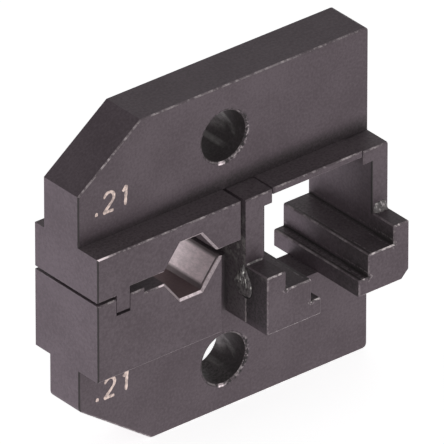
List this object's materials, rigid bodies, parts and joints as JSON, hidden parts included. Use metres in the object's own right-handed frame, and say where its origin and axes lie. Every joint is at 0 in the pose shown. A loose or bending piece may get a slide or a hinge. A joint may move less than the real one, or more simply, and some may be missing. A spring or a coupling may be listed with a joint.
{
  "type": "crimp die",
  "caption": "Two-half crimp die with a hexagon crimp beside a stepped nest and contact punch for a modular plug, on bored tangs for a hand crimp tool.",
  "frame": {"origin": "middle of the lower mounting bore, on its axis at the middle of the lower tang's thickness", "axes": "+X along the die's width towards the plug nest, +Y from the front face into the depth along the bores, +Z the direction in which the upper half opens"},
  "size_m": [0.0318, 0.0115, 0.0317],
  "materials": {
    "black_oxide": "black oxide on ground tool steel, worn bright at the edges",
    "black_oxide_guide": "black oxide on ground tool steel, worn bright at the edges",
    "punch_steel": "ground hardened steel",
    "pin_steel": "ground dowel steel",
    "seam_pin_steel": "blackened dowel steel, rough at its end"
  },
  "bodies": {
    "lower_die": {"lower_die_body": "black_oxide", "guide_block_left": "black_oxide_guide", "guide_block_right": "black_oxide_guide", "seam_pin_left": "seam_pin_steel", "seam_pin_right": "seam_pin_steel"},
    "upper_die": {"upper_die_body": "black_oxide", "contact_punch": "punch_steel", "strain_relief_punch": "punch_steel", "contact_punch_pin": "pin_steel", "strain_punch_pin": "pin_steel"}
  },
  "joints": [
    {"name": "die_opening", "type": "slide", "parent": "lower_die", "child": "upper_die", "axis": [0, 0, 1], "range_m": [0, 0.012]}
  ]
}
